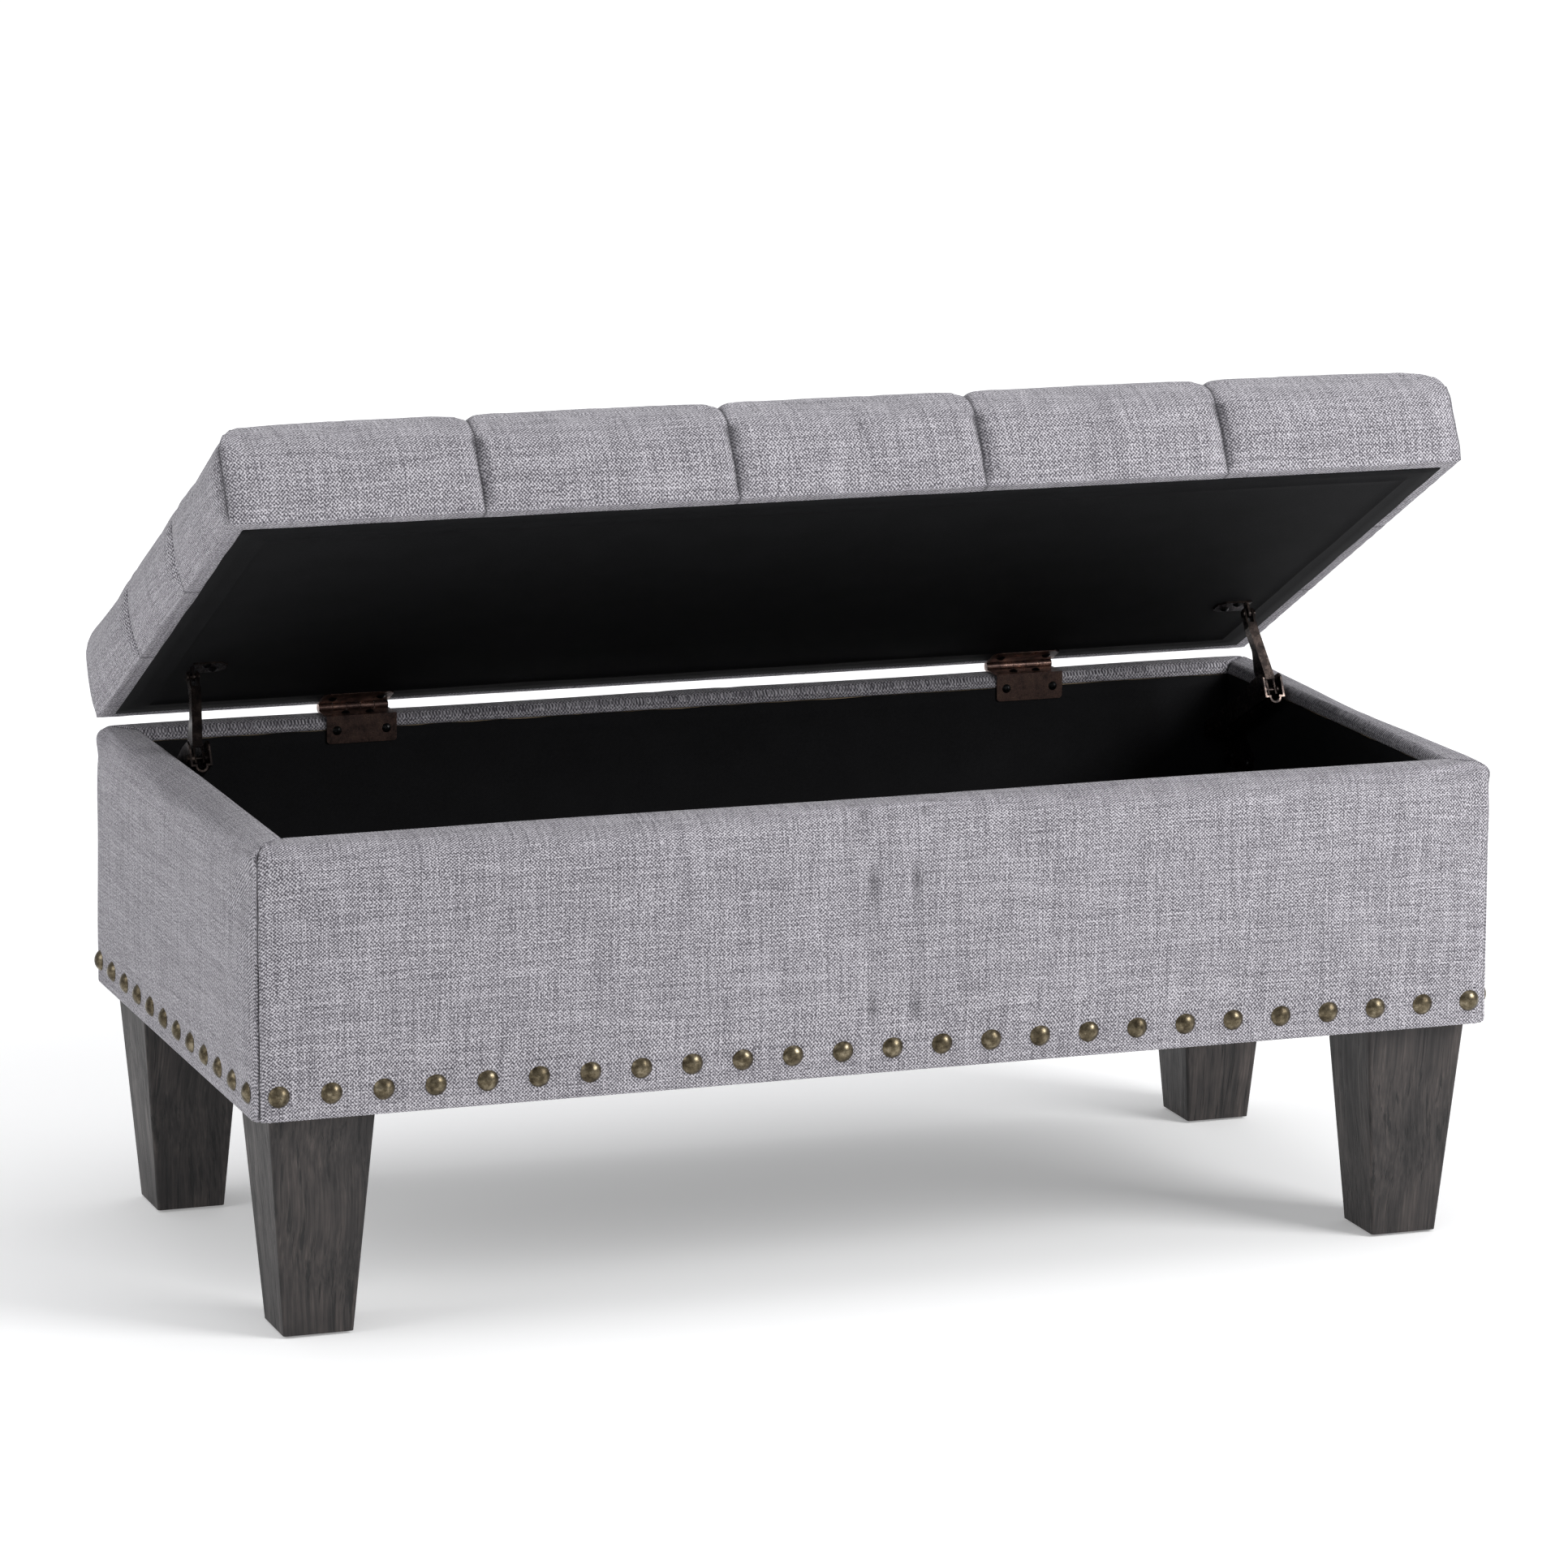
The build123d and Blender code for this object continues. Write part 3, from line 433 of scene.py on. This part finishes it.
def lid_cushion():
    bm, low, high = cushion_block()
    seams_x, seams_y = pillow_seams()
    for axis, seams in ((0, seams_x), (1, seams_y)):
        stops = [low[axis], *seams, high[axis]]
        for a, b in zip(stops, stops[1:]):
            slice_at(bm, axis, even(a, b, LID_THREADS))
        slice_at(bm, axis, [s + d for s in seams for d in (-SEAM, 0, SEAM)])
        slice_at(bm, axis, [low[axis] + SEAM, high[axis] - SEAM])
    slice_at(bm, 2, even(low.z + 2.5 * MM, high.z, 7 * MM))
    bmesh.ops.recalc_face_normals(bm, faces=bm.faces)
    middle = (low + high) / 2

    def threads(p, n):
        drop = high.z - p.z
        if abs(n.x) > abs(n.y) and abs(n.z) < 0.9:
            return p.x + (drop if n.x > 0 else -drop), p.y
        if abs(n.z) < 0.9:
            return p.x, p.y + (drop if n.y > 0 else -drop)
        return p.x, p.y

    lay_threads(bm, threads)
    for v in bm.verts:
        if v.co.z > BOARD_HIGH.z + 1e-4:
            lift = (v.co.z - BOARD_HIGH.z) / (high.z - BOARD_HIGH.z)
            rise_x = min(1, min(v.co.x - low.x, high.x - v.co.x) / CROWN_RUN)
            rise_y = min(1, min(v.co.y - low.y, high.y - v.co.y) / CROWN_RUN)
            dome = 0.5 + 0.5 * sin(rise_x * QUARTER_TURN) * sin(rise_y * QUARTER_TURN)
            v.co.z += CROWN * lift * dome * (0.8 + 0.2 * rise_x)
    piece = as_piece("lid_cushion", bm, LINEN)
    held = {}
    for v in piece.data.vertices:
        on_side = (min(abs(v.co.x - low.x), abs(v.co.x - high.x)) < 1e-5,
                   min(abs(v.co.y - low.y), abs(v.co.y - high.y)) < 1e-5)
        inside = (v.co.z < low.z + TINY or (v.co.z < BOARD_HIGH.z + TINY and not any(on_side))
                  and over_board(v.co))
        on_seam = (min(abs(v.co.x - s) for s in seams_x) < TINY
                   or min(abs(v.co.y - s) for s in seams_y) < TINY)
        corner = (min(abs(v.co.x - low.x), abs(v.co.x - high.x)) < SEAM / 2 + 1e-5
                  and min(abs(v.co.y - low.y), abs(v.co.y - high.y)) < SEAM / 2 + 1e-5)
        if inside or on_seam or corner:
            held[v.index] = 1.0
    stuff(piece, held, LID_PRESSURE, LID_SWELL, LID_SPARE)

    # Weight of the painted seam shade: full on the pillow seams and at the four corner seams of the
    # cushion.
    def seam_shade_depth(p):
        away = min([abs(p.x - x) for x in seams_x] + [abs(p.y - y) for y in seams_y])
        at_corner = hypot(min(abs(p.x - low.x), abs(p.x - high.x)),
                          min(abs(p.y - low.y), abs(p.y - high.y)))
        return 0.9 * exp(-(away / (0.55 * SEAM)) ** 2) + 0.9 * exp(-(at_corner / (0.9 * SEAM)) ** 2)

    mark_seam_shade(piece, seam_shade_depth)
    normals = [v.normal.copy() for v in piece.data.vertices]
    for v, n in zip(piece.data.vertices, normals):
        if v.index in held and v.co.z < BOARD_HIGH.z + TINY and abs(n.z) > 0.7:
            continue
        if v.co.z < low.z + TINY or (v.index in held and v.co.z < BOARD_HIGH.z and over_board(v.co)):
            continue
        away = min([abs(v.co.x - s) for s in seams_x] + [abs(v.co.y - s) for s in seams_y])
        at_corner = hypot(min(abs(v.co.x - low.x), abs(v.co.x - high.x)),
                          min(abs(v.co.y - low.y), abs(v.co.y - high.y)))
        v.co -= n * (LID_GROOVE * exp(-(away / SEAM) ** 2)
                     + LID_CORNER_GROOVE * exp(-(at_corner / SEAM) ** 2))
    soften(piece)
    piece.data.transform(RAISE)
    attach(piece, "lid")
    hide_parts("lid_cover", "lid_foam")


lid_cushion()

# ---------------------------------------------------------------- box covers

COVERS = [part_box(f"{wall}_cover") for wall in ("front", "rear", "left", "right")]
BOX_LOW = Vector([min(low[i] for low, high in COVERS) for i in range(3)])
BOX_HIGH = Vector([max(high[i] for low, high in COVERS) for i in range(3)])
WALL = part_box("left_cover")[1].x - BOX_LOW.x
PANEL_LOW, PANEL_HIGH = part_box("front_panel")
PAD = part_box("left_panel")[0].x - BOX_LOW.x
LINER_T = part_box("left_liner")[1].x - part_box("left_liner")[0].x
LINER_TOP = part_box("front_liner")[1].z
CORNER = 14 * MM
RIM_ROUND = 11 * MM
HEM_UNDER = 25 * MM
SHARP = 1.5 * MM  # corner radius of the turned-in cloth
BOX_THREADS = 7 * MM
NAIL_ROWS = 42 * MM  # height of the closer threads round the nails
BOX_PRESSURE, BOX_SWELL = 2.0, 4.5 * MM
HIDDEN = 12.5 * MM  # how far in the cloth lies on wood


def first_ring(bm, inset, z, corner):
    """A rounded rectangle that follows the box at one height, as edges only."""
    made = bmesh.ops.create_grid(bm, x_segments=1, y_segments=1, size=0.5)["verts"]
    size = BOX_HIGH - BOX_LOW - Vector((2, 2, 0)) * inset
    middle = (BOX_HIGH + BOX_LOW) / 2
    bmesh.ops.scale(bm, vec=(size.x, size.y, 1), verts=made)
    bmesh.ops.translate(bm, vec=(middle.x, middle.y, z), verts=made)
    bmesh.ops.bevel(bm, geom=made, offset=corner, segments=6, profile=0.5, affect="VERTICES", material=-1)
    bmesh.ops.delete(bm, geom=bm.faces[:], context="FACES_ONLY")
    return bm.edges[:]


def carry_ring(bm, ring, was, now):
    """Draws the cloth out from one ring to the next; each is (inset, height, corner radius)."""
    middle = (BOX_HIGH + BOX_LOW) / 2
    made = bmesh.ops.extrude_edge_only(bm, edges=ring)["geom"]
    for v in (g for g in made if isinstance(g, bmesh.types.BMVert)):
        for axis in (0, 1):
            side = 1 if v.co[axis] > middle[axis] else -1
            edge = (BOX_HIGH if side > 0 else BOX_LOW)[axis]
            offset = v.co[axis] - (edge - side * (was[0] + was[2]))
            v.co[axis] = edge - side * (now[0] + now[2]) + offset * now[2] / was[2]
        v.co.z = now[1]
    return [g for g in made if isinstance(g, bmesh.types.BMEdge)]


def box_upholstery():
    """Padding and cover of all four walls as one run of cloth, cut at the corner seams afterwards."""
    bm = bmesh.new()
    outline = [(0, BOX_LOW.z, CORNER), (0, BOX_HIGH.z, CORNER), (WALL, BOX_HIGH.z, SHARP),
               (WALL, LINER_TOP, SHARP), (WALL - LINER_T, LINER_TOP, SHARP),
               (WALL - LINER_T, PANEL_HIGH.z, SHARP), (PAD, PANEL_HIGH.z, SHARP),
               (PAD, PANEL_LOW.z, SHARP), (HEM_UNDER, PANEL_LOW.z, SHARP), (HEM_UNDER, BOX_LOW.z, SHARP),
               (0, BOX_LOW.z, CORNER)]
    rings = [first_ring(bm, *outline[0])]
    for was, now in zip(outline, outline[1:]):
        rings.append(carry_ring(bm, rings[-1], was, now))
    bmesh.ops.remove_doubles(bm, verts=bm.verts, dist=1e-5)
    bmesh.ops.recalc_face_normals(bm, faces=bm.faces)
    bmesh.ops.bevel(bm, geom=[e for e in rings[1] if e.is_valid], offset=RIM_ROUND, segments=5, profile=0.5,
                    affect="EDGES", material=-1)
    inner = [e for e in bm.edges if all(abs(v.co.z - BOX_HIGH.z) < 1e-6 for v in e.verts)
             and all(abs(abs(v.co.x) - (BOX_HIGH.x - WALL)) < 2 * MM
                     or abs(v.co.y - BOX_LOW.y - WALL) < 2 * MM
                     or abs(v.co.y - BOX_HIGH.y + WALL) < 2 * MM for v in e.verts)
             and len(e.link_faces) == 2 and abs(e.link_faces[0].normal.z - e.link_faces[1].normal.z) > 0.5]
    bmesh.ops.bevel(bm, geom=inner, offset=6 * MM, segments=3, profile=0.5, affect="EDGES", material=-1)
    return bm


NAIL_SPOTS = {}
for side, axis in (("front", 0), ("left", 1), ("right", 1)):
    heads = NODES[f"nailheads_{side}"].data.vertices
    face = {"front": (1, min), "left": (0, min), "right": (0, max)}[side]
    tip = face[1](v.co[face[0]] for v in heads)
    marks = sorted(v.co[axis] for v in heads if abs(v.co[face[0]] - tip) < 0.4 * MM)
    spots = []
    for mark in marks:
        if not spots or mark - spots[-1][-1] > 15 * MM:
            spots.append([mark])
        else:
            spots[-1].append(mark)
    NAIL_SPOTS[side] = [(s[0] + s[-1]) / 2 for s in spots]
NAIL_Z = sum(c.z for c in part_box("nailheads_front")) / 2


def nail_distance(p):
    """How far a point of the outer face is from the nearest nail."""
    near = 1.0
    if p.y < BOX_LOW.y + 4 * MM:
        near = min(hypot(p.x - s, p.z - NAIL_Z) for s in NAIL_SPOTS["front"])
    for side, edge in (("left", BOX_LOW.x), ("right", BOX_HIGH.x)):
        if abs(p.x - edge) < 4 * MM:
            near = min(near, min(hypot(p.y - s, p.z - NAIL_Z) for s in NAIL_SPOTS[side]))
    return near


def seam_distance(p):
    """How far a point is from the nearest corner seam plane.

    The planes have no end, so those of the rear corners also meet the front near its middle, and
    those of the front corners the rear.
    """
    return min(abs((abs(p.x) - BOX_HIGH.x) - (side * (p.y - edge))) * 0.7071
               for side, edge in ((-1, BOX_LOW.y), (1, BOX_HIGH.y)))


HINGE_BOXES = [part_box(f"{s}_hinge_box_leaf") for s in ENDS]


def cover_box():
    bm = box_upholstery()
    slice_at(bm, 0, even(BOX_LOW.x, BOX_HIGH.x, BOX_THREADS))
    slice_at(bm, 1, even(BOX_LOW.y, BOX_HIGH.y, BOX_THREADS))
    slice_at(bm, 2, even(BOX_LOW.z, BOX_LOW.z + NAIL_ROWS, 4.6 * MM)
             + even(BOX_LOW.z + NAIL_ROWS, BOX_HIGH.z - RIM_ROUND, 9 * MM))
    for sx in (-1, 1):
        for sy, edge in ((1, BOX_LOW.y), (-1, BOX_HIGH.y)):
            corner = Vector((sx * BOX_HIGH.x, edge, 0))
            across = Vector((1, sx * sy, 0)).normalized()
            for d in (-SEAM, 0, SEAM):
                near = [f for f in bm.faces if (f.calc_center_median().xy - corner.xy).length < 70 * MM]
                geom = set(near) | {e for f in near for e in f.edges} | {v for f in near for v in f.verts}
                bmesh.ops.bisect_plane(bm, geom=list(geom), dist=1e-6,
                                       plane_co=corner + across * d, plane_no=across)
    bmesh.ops.recalc_face_normals(bm, faces=bm.faces)
    whole = as_piece("box_cloth", bm, LINEN)
    held = {}
    for v in whole.data.vertices:
        p = v.co
        inset = min(p.x - BOX_LOW.x, BOX_HIGH.x - p.x, p.y - BOX_LOW.y, BOX_HIGH.y - p.y)
        hidden = inset > HIDDEN and p.z < BOX_HIGH.z - 3 * MM
        hinged = any(lo.x - 4 * MM < p.x < hi.x + 4 * MM and p.y > lo.y - 4 * MM
                     and p.z > BOX_HIGH.z - 25 * MM for lo, hi in HINGE_BOXES)
        if (hidden or hinged or p.z < BOX_LOW.z + 1 * MM or nail_distance(p) < 7 * MM
                or seam_distance(p) < 0.3 * MM):
            held[v.index] = 1.0
        elif p.z < BOX_LOW.z + 9 * MM:
            held[v.index] = 0.5
    stuff(whole, held, BOX_PRESSURE, BOX_SWELL, 0.0)
    normals = [v.normal.copy() for v in whole.data.vertices]
    for v, n in zip(whole.data.vertices, normals):
        p = v.co
        inset = min(p.x - BOX_LOW.x, BOX_HIGH.x - p.x, p.y - BOX_LOW.y, BOX_HIGH.y - p.y)
        if inset > HIDDEN and p.z < BOX_HIGH.z - 5 * MM:
            continue
        dip = 1.5 * MM * exp(-(seam_distance(p) / SEAM) ** 2)
        if p.z < BOX_LOW.z + 40 * MM:
            dip += 0.8 * MM * exp(-(nail_distance(p) / (11 * MM)) ** 2)
        v.co -= n * dip
    return whole


def split_covers(whole):
    """Cuts the cloth at its four corner seams into one padded piece for each wall."""
    corners = {(sx, sy): Vector((sx * BOX_HIGH.x, BOX_LOW.y if sy < 0 else BOX_HIGH.y, 0))
               for sx in (-1, 1) for sy in (-1, 1)}
    corners["middle"] = (BOX_LOW + BOX_HIGH) / 2
    walls = {
        "front": (((-1, -1), (1, -1, 0)), ((1, -1), (-1, -1, 0)), ("middle", (0, -1, 0))),
        "rear": (((-1, 1), (1, 1, 0)), ((1, 1), (-1, 1, 0)), ("middle", (0, 1, 0))),
        "left": (((-1, -1), (-1, 1, 0)), ((-1, 1), (-1, -1, 0))),
        "right": (((1, -1), (1, 1, 0)), ((1, 1), (1, -1, 0))),
    }
    for wall, cuts in walls.items():
        bm = bmesh.new()
        bm.from_mesh(whole.data)
        for key, keep in cuts:
            bmesh.ops.bisect_plane(bm, geom=bm.verts[:] + bm.edges[:] + bm.faces[:], dist=2e-5,
                                   plane_co=corners[key], plane_no=Vector(keep), clear_inner=True)
        ends = [e for e in bm.edges if len(e.link_faces) == 1]
        bmesh.ops.holes_fill(bm, edges=ends, sides=0)

        def threads(p, n):
            rise = p.z - BOX_HIGH.z
            if wall in ("front", "rear"):
                back = p.y - BOX_LOW.y if wall == "front" else BOX_HIGH.y - p.y
                return p.x, rise + back
            back = p.x - BOX_LOW.x if wall == "left" else BOX_HIGH.x - p.x
            return p.y + 3, rise + back

        lay_threads(bm, threads)
        piece = as_piece(f"{wall}_upholstery", bm, LINEN)
        # Painted shade along the four corner seams, at 0.6 of full strength.
        mark_seam_shade(piece, lambda p: 0.6 * exp(-(seam_distance(p) / (0.5 * SEAM)) ** 2))
        soften(piece)
        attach(piece, "box")
        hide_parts(f"{wall}_cover", f"{wall}_padding")
    bpy.data.objects.remove(whole)


split_covers(cover_box())

# ---------------------------------------------------------------- linings

RIPPLE = 0.5 * MM
LID_HEM = 22 * MM


def lining_sheet(node, name, material, body, face, ripple=RIPPLE, shut=False, hem=0.0):
    """A stretched lining: its showing side ripples a little, and its edges wander."""
    low, high = shut_box(node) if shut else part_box(node)
    thin = min(range(3), key=lambda i: high[i] - low[i])
    bm = bmesh.new()
    bmesh.ops.create_cube(bm, size=1)
    bmesh.ops.scale(bm, vec=high - low, verts=bm.verts)
    bmesh.ops.translate(bm, vec=(low + high) / 2, verts=bm.verts)
    long_axes = [i for i in range(3) if i != thin]
    for axis in long_axes:
        slice_at(bm, axis, even(low[axis], high[axis], 11 * MM))
        if hem:
            slice_at(bm, axis, [low[axis] + hem + d for d in (-2 * MM, 0, 2 * MM)]
                     + [high[axis] - hem + d for d in (-2 * MM, 0, 2 * MM)])
    showing = high[thin] if face > 0 else low[thin]
    for v in bm.verts:
        p = v.co.copy()
        reach = min(min(p[a] - low[a], high[a] - p[a]) for a in long_axes)
        if abs(p[thin] - showing) < 1e-6:
            fold = exp(-((reach - hem) / (2 * MM)) ** 2) if hem else 0
            wave = noise.noise(p * 14) * ripple + 0.7 * MM * fold * face
            v.co[thin] += face * (abs(wave) + 0.5 * MM * fold)
        if reach < 1e-6:
            for axis in long_axes:
                if min(p[axis] - low[axis], high[axis] - p[axis]) < 1e-6:
                    inwards = 1 if p[axis] - low[axis] < 1e-6 else -1
                    v.co[axis] += inwards * ripple * 1.6 * (0.5 + noise.noise(p * 30))
    bmesh.ops.recalc_face_normals(bm, faces=bm.faces)
    piece = as_piece(name, bm, material)
    if shut:
        piece.data.transform(RAISE)
    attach(piece, body)
    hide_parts(node)


for wall, face in (("front", 1), ("rear", -1), ("left", 1), ("right", -1)):
    lining_sheet(f"{wall}_liner", f"{wall}_lining", LINING, "box", face)
lining_sheet("floor_liner", "floor_lining", LINING, "box", 1)
lining_sheet("dust_cover", "under_lining", CAMBRIC, "box", -1, 0.05 * MM)
lining_sheet("lid_liner", "lid_lining", CAMBRIC, "lid", -1, shut=True, hem=LID_HEM)

# ---------------------------------------------------------------- studio

LAMPS = [  # name, place, size, power
    ("key", (2.3, -2.2, 1.9), 1.5, 84),
    ("left_fill", (-3.0, -0.4, 1.9), 1.8, 22),
    ("top", (0.3, 0.2, 3.2), 2.4, 26),
]
CAMERA_PLACE = (-1.7656, -4.8826, 1.4454)
YAW, PITCH, ROLL = -0.3474, 0.2085, 0.0077
LENS = 154.8


def studio():
    """Pale floor that glows as painted light, brighter towards the back, soft light from the right and
    above, and the camera.
    """
    bm = bmesh.new()
    bmesh.ops.create_grid(bm, x_segments=1, y_segments=1, size=30)
    bm.faces.ensure_lookup_table()
    pale, tree, shader = finish("glowing_pale_floor", Base_Color=(0.95, 0.95, 0.95, 1), Roughness=0.9,
                                Emission_Color=(1, 1, 1, 1))
    # Painted light: the floor glows, with emission strength rising from 0.26 at y 0.2 m to 0.72 at y 3 m,
    # so it also lights the bench like a lamp.
    reach = put(tree, "SeparateXYZ", {0: put(tree, "TexCoord", out=3)}, out=1)
    tree.links.new(spread(tree, reach, 0.2, 3.0, 0.26, 0.72), shader.inputs["Emission Strength"])
    floor = as_piece("studio_floor", bm, pale)
    scene = bpy.context.scene
    scene.view_settings.view_transform = "Standard"
    world = bpy.data.worlds.new("studio_air")
    world.use_nodes = True
    air = world.node_tree.nodes["Background"].inputs
    air[0].default_value = (0.97, 0.98, 1.0, 1)
    air[1].default_value = 0.42
    scene.world = world
    middle = (box0[0] + box0[1]) / 2
    for name, place, size, power in LAMPS:
        lamp = bpy.data.lights.new(name, "AREA")
        lamp.size = size
        lamp.energy = power
        thing = bpy.data.objects.new(name, lamp)
        thing.location = place
        thing.rotation_mode = "QUATERNION"
        thing.rotation_quaternion = (middle - Vector(place)).to_track_quat("-Z", "Y")
        scene.collection.objects.link(thing)
    lens = bpy.data.cameras.new("camera")
    lens.sensor_width = 36
    lens.lens = LENS
    lens.clip_end = 100
    camera = bpy.data.objects.new("camera", lens)
    ahead = Vector((-sin(YAW) * cos(PITCH), cos(YAW) * cos(PITCH), -sin(PITCH)))
    level = Vector((cos(YAW), sin(YAW), 0))
    upright = level.cross(ahead)
    right = cos(ROLL) * level + sin(ROLL) * upright
    up = -sin(ROLL) * level + cos(ROLL) * upright
    turn = Matrix((right, up, -ahead)).transposed().to_4x4()
    camera.matrix_world = Matrix.Translation(CAMERA_PLACE) @ turn
    scene.collection.objects.link(camera)
    scene.camera = camera


studio()
